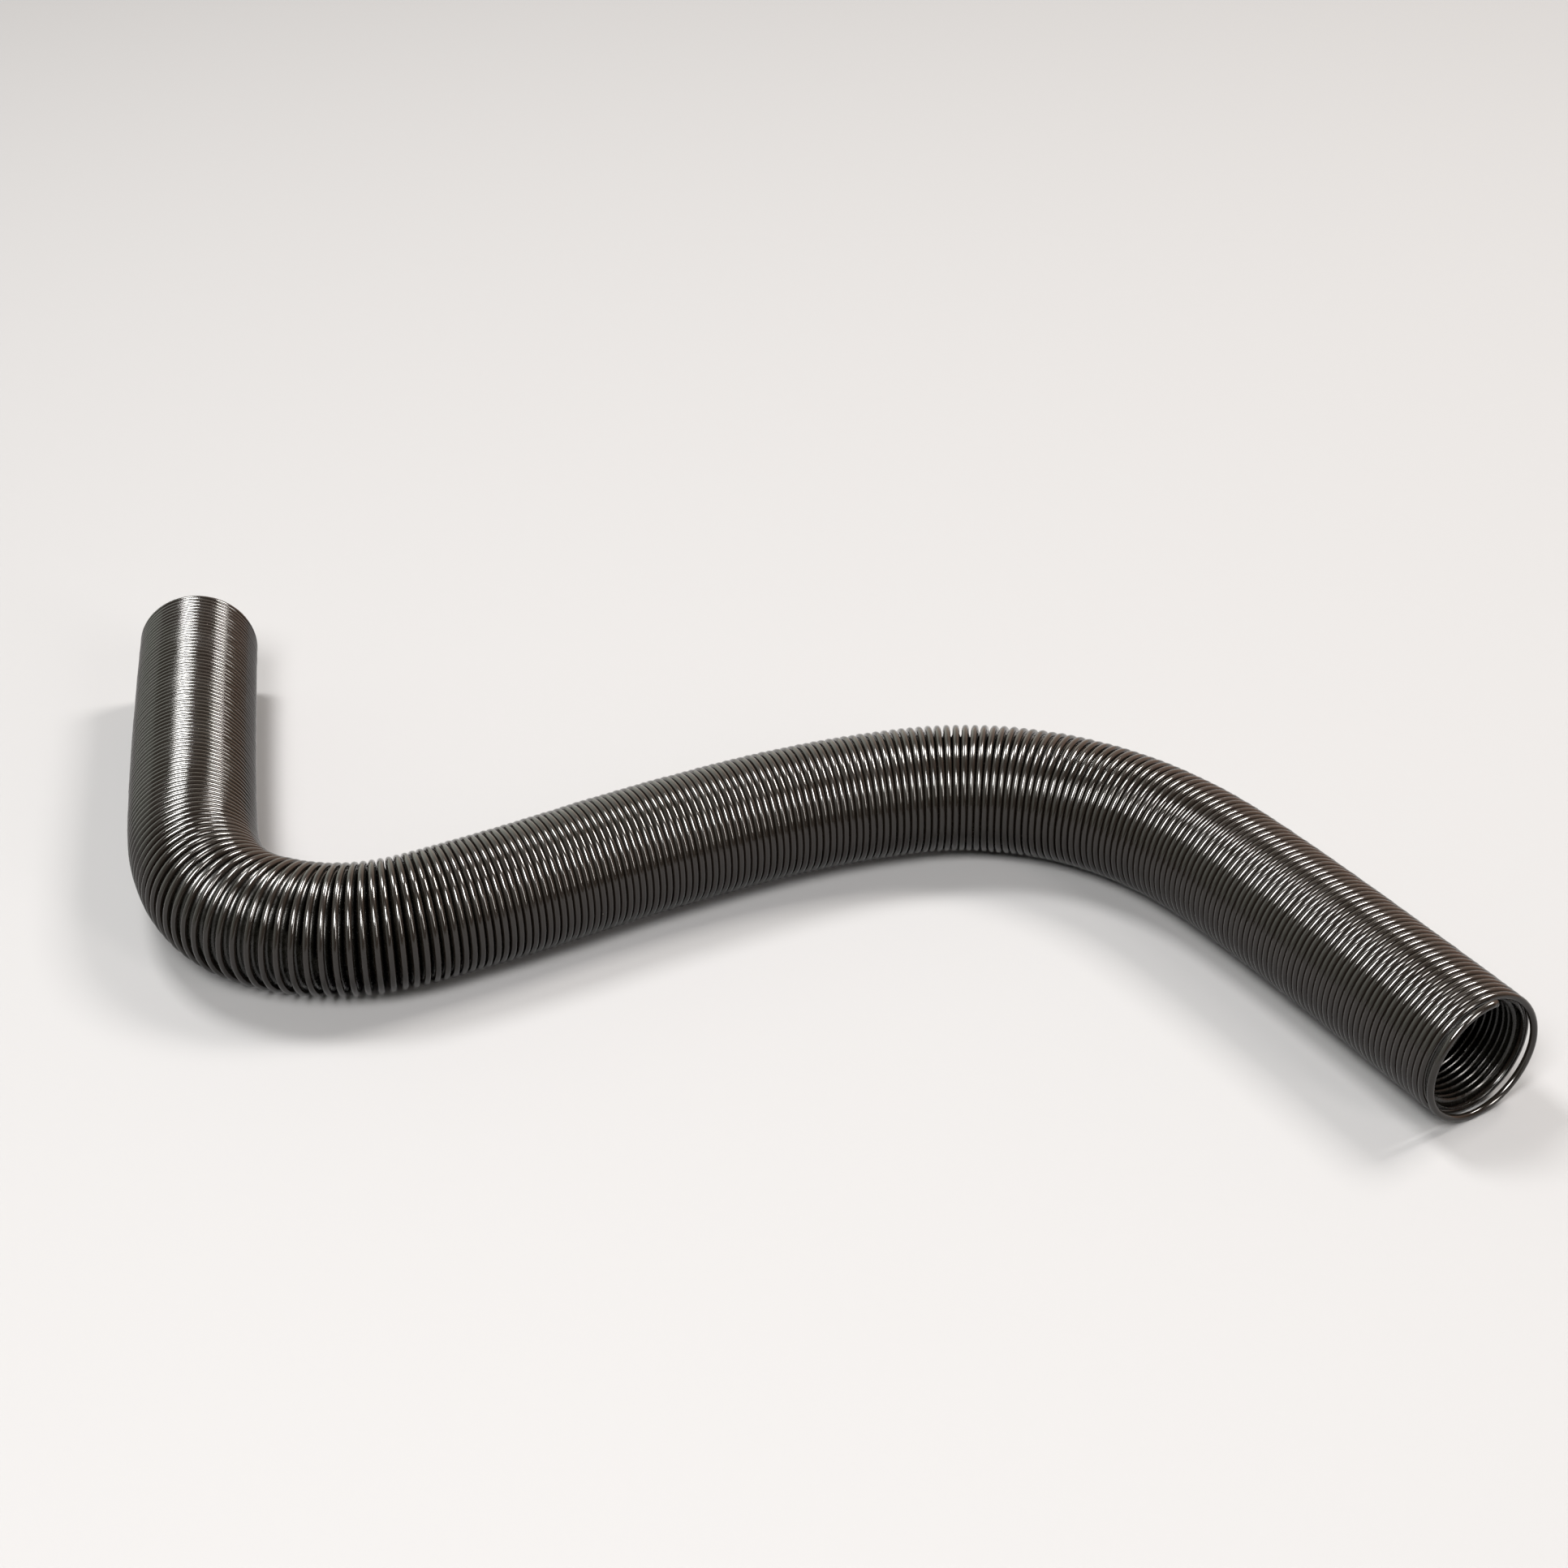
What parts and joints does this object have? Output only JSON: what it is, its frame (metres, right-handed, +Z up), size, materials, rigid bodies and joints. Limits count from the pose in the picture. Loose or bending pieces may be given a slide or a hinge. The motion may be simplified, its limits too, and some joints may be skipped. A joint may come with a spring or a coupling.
{
  "type": "vacuum hose",
  "caption": "Flexible vinyl suction hose wound from coated spring wire, ribbed all along, lying in a loose S with both ends cut square and open.",
  "frame": {"origin": "on the floor, under the middle of the box that the whole hose fills", "axes": "+X to the right along the hose's longest extent, +Y away from the viewer, +Z up from the floor it lies on"},
  "size_m": [0.4532, 0.2753, 0.0421],
  "materials": {
    "vinyl": "glossy black soft vinyl, extruded smooth, with fine draw marks",
    "spring_steel": "drawn spring steel wire, bare only where it is cut"
  },
  "bodies": {
    "middle_leg": {"middle_leg_wall": "vinyl", "middle_leg_wire": "spring_steel", "far_bend_wall": "vinyl", "far_bend_wire": "spring_steel", "near_bend_wall": "vinyl", "near_bend_wire": "spring_steel"},
    "far_leg": {"far_leg_wall": "vinyl", "far_leg_wire": "spring_steel"},
    "near_leg": {"near_leg_wall": "vinyl", "near_leg_wire": "spring_steel"}
  },
  "joints": [
    {"name": "far_bend_flex", "type": "hinge", "parent": "middle_leg", "child": "far_leg", "pos_m": [-0.15384, -0.0342, 0.0208], "axis": [0, 0, 1], "range_deg": [-12, 30], "deforming": ["far_bend_wall", "far_bend_wire"]},
    {"name": "near_bend_flex", "type": "hinge", "parent": "middle_leg", "child": "near_leg", "pos_m": [0.10093, 0.0087, 0.0208], "axis": [0, 0, 1], "range_deg": [-30, 30], "deforming": ["near_bend_wall", "near_bend_wire"]}
  ]
}
